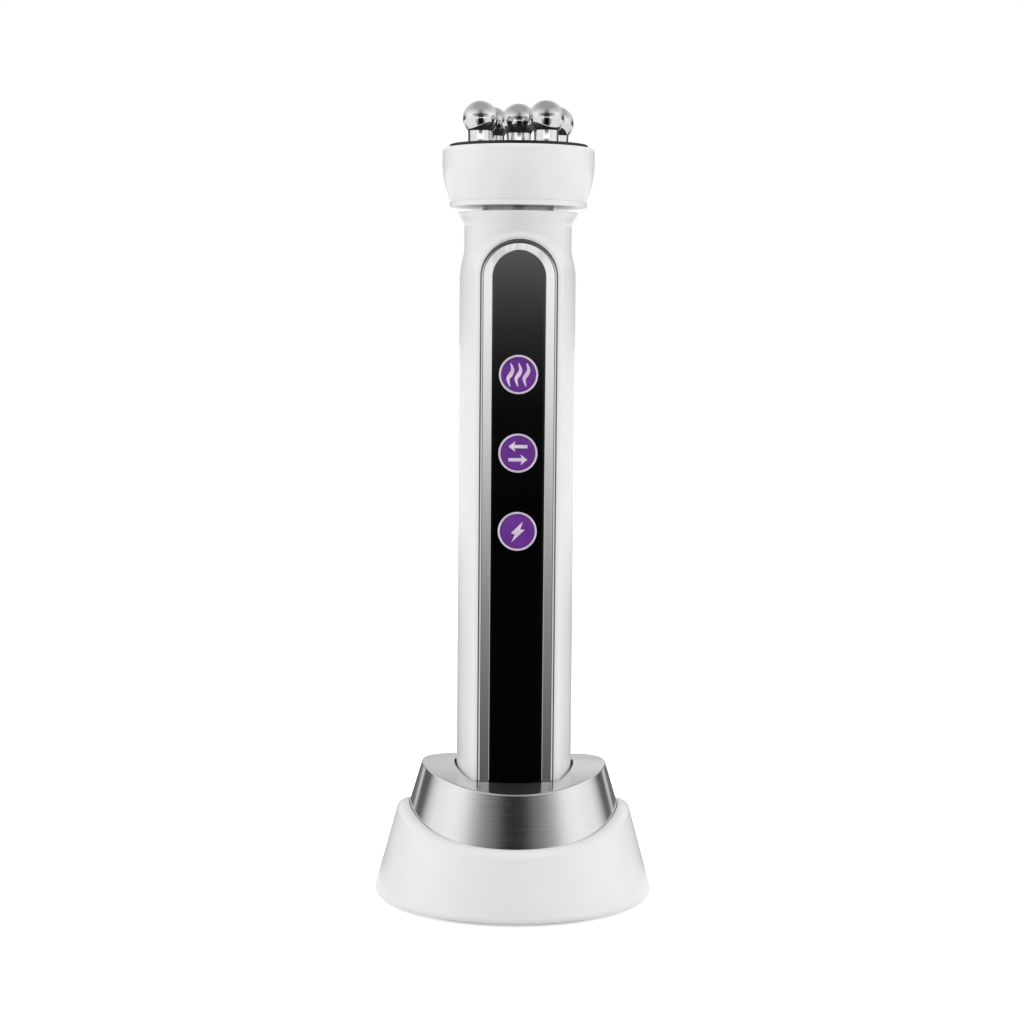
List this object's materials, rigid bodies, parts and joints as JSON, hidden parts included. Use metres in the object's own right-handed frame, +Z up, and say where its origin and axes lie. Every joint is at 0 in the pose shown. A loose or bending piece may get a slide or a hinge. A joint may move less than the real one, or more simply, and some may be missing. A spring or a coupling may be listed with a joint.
{
  "type": "facial toning wand in a charging stand",
  "caption": "Slim upright massage wand with a turning head of polished balls, an arched black control strip and round buttons, standing in a weighted charging stand.",
  "frame": {"origin": "bottom centre of the stand, on the table under its feet", "axes": "+Z up along the wand, the control strip faces -Y, +X to the right as seen from the front"},
  "size_m": [0.0696, 0.0696, 0.1983],
  "materials": {
    "white_plastic": "smooth white moulded plastic with a high gloss",
    "collar_steel": "satin steel brushed round the collar",
    "black_plastic": "plain black moulded plastic",
    "grey_plastic": "plain grey moulded plastic",
    "green_board": "green glass-fibre circuit board",
    "socket_steel": "bright plated steel",
    "ballast_iron": "dull dark iron",
    "foot_rubber": "matt black rubber",
    "screw_steel": "plain steel",
    "gold_plate": "gold plate",
    "felt": "dark felt seal",
    "wire_sleeve": "red wire insulation",
    "trim_chrome": "satin chrome with bright edges",
    "black_gloss": "deep black gloss",
    "lilac": "pale lilac",
    "purple": "purple, lightly glossy",
    "battery_sleeve": "blue shrink sleeve",
    "motor_steel": "drawn steel can",
    "magnet": "dark sintered magnet",
    "copper": "copper windings on an iron core",
    "gear_brass": "machined brass",
    "hub_metal": "dark polished metal",
    "heater_film": "amber heater film on a round board",
    "ball_chrome": "mirror-polished chrome"
  },
  "bodies": {
    "stand": {"stand_shell": "white_plastic", "stand_collar": "collar_steel", "cradle_cup": "black_plastic", "pin_block": "black_plastic", "charge_board": "green_board", "power_socket": "socket_steel", "ballast_ring": "ballast_iron", "base_plate": "black_plastic", "rubber_feet": "foot_rubber", "base_screws": "screw_steel"},
    "charge_pin_left": {"charge_pin_left": "gold_plate"},
    "charge_pin_right": {"charge_pin_right": "gold_plate"},
    "wand": {"front_shell": "white_plastic", "rear_shell": "white_plastic", "neck_ring": "white_plastic", "shaft_seal": "felt", "bottom_cap": "white_plastic", "contact_pads": "gold_plate", "trim_frame": "trim_chrome", "control_panel": "black_gloss", "button_rings": "lilac", "tact_switches": "black_plastic", "control_board": "green_board", "chassis": "grey_plastic", "chassis_screws": "screw_steel", "battery_cell": "battery_sleeve", "motor_can": "motor_steel", "motor_magnets": "magnet", "motor_end_bell": "black_plastic", "ring_gear": "black_plastic", "gearbox_cover": "black_plastic", "gearbox_screws": "screw_steel", "output_bushing": "gear_brass", "brush_holder": "black_plastic", "contact_brushes": "gold_plate", "lead_wires": "wire_sleeve"},
    "heat_button": {"heat_button": "purple"},
    "direction_button": {"direction_button": "purple"},
    "power_button": {"power_button": "purple"},
    "rotor": {"motor_shaft": "screw_steel", "armature": "copper", "sun_gear": "gear_brass"},
    "planet_gear_1": {"planet_gear_1": "gear_brass"},
    "planet_gear_2": {"planet_gear_2": "gear_brass"},
    "planet_gear_3": {"planet_gear_3": "gear_brass"},
    "head": {"planet_carrier": "screw_steel", "head_hub": "hub_metal", "slip_rings": "gold_plate", "head_base": "white_plastic", "head_shell": "white_plastic", "head_plate": "black_gloss", "plate_seals": "black_gloss", "heater_board": "heater_film", "centre_ball": "ball_chrome", "back_right_ball": "ball_chrome", "back_left_ball": "ball_chrome", "front_left_ball": "ball_chrome", "front_right_ball": "ball_chrome", "electrode_nuts": "screw_steel", "hub_screws": "screw_steel"}
  },
  "joints": [
    {"name": "wand_lift", "type": "slide", "parent": "stand", "child": "wand", "axis": [0, 0, 1], "range_m": [0, 0.06]},
    {"name": "head_spin", "type": "hinge", "parent": "wand", "child": "head", "pos_m": [0, 0, 0.165], "axis": [0, 0, 1], "continuous": true},
    {"name": "rotor_spin", "type": "hinge", "parent": "wand", "child": "rotor", "pos_m": [0, 0, 0.135], "axis": [0, 0, 1], "continuous": true},
    {"name": "planet_1_spin", "type": "hinge", "parent": "head", "child": "planet_gear_1", "pos_m": [0.0054, 0, 0.1515], "axis": [0, 0, 1], "continuous": true},
    {"name": "planet_2_spin", "type": "hinge", "parent": "head", "child": "planet_gear_2", "pos_m": [-0.0027, 0.00468, 0.1515], "axis": [0, 0, 1], "continuous": true},
    {"name": "planet_3_spin", "type": "hinge", "parent": "head", "child": "planet_gear_3", "pos_m": [-0.0027, -0.00468, 0.1515], "axis": [0, 0, 1], "continuous": true},
    {"name": "heat_press", "type": "slide", "parent": "wand", "child": "heat_button", "axis": [0, 1, 0], "range_m": [0, 0.0005], "stiffness_N_per_m": 1500, "springref_m": -0.0002},
    {"name": "direction_press", "type": "slide", "parent": "wand", "child": "direction_button", "axis": [0, 1, 0], "range_m": [0, 0.0005], "stiffness_N_per_m": 1500, "springref_m": -0.0002},
    {"name": "power_press", "type": "slide", "parent": "wand", "child": "power_button", "axis": [0, 1, 0], "range_m": [0, 0.0005], "stiffness_N_per_m": 1500, "springref_m": -0.0002},
    {"name": "charge_pin_left_push", "type": "slide", "parent": "stand", "child": "charge_pin_left", "axis": [0, 0, 1], "range_m": [-0.0008, 0], "stiffness_N_per_m": 700, "springref_m": 0.0003},
    {"name": "charge_pin_right_push", "type": "slide", "parent": "stand", "child": "charge_pin_right", "axis": [0, 0, 1], "range_m": [-0.0008, 0], "stiffness_N_per_m": 700, "springref_m": 0.0003}
  ],
  "couplings": [
    {"joint": "rotor_spin", "follows": "head_spin", "ratio": 4.5},
    {"joint": "planet_1_spin", "follows": "head_spin", "ratio": -2.8},
    {"joint": "planet_2_spin", "follows": "head_spin", "ratio": -2.8},
    {"joint": "planet_3_spin", "follows": "head_spin", "ratio": -2.8}
  ]
}
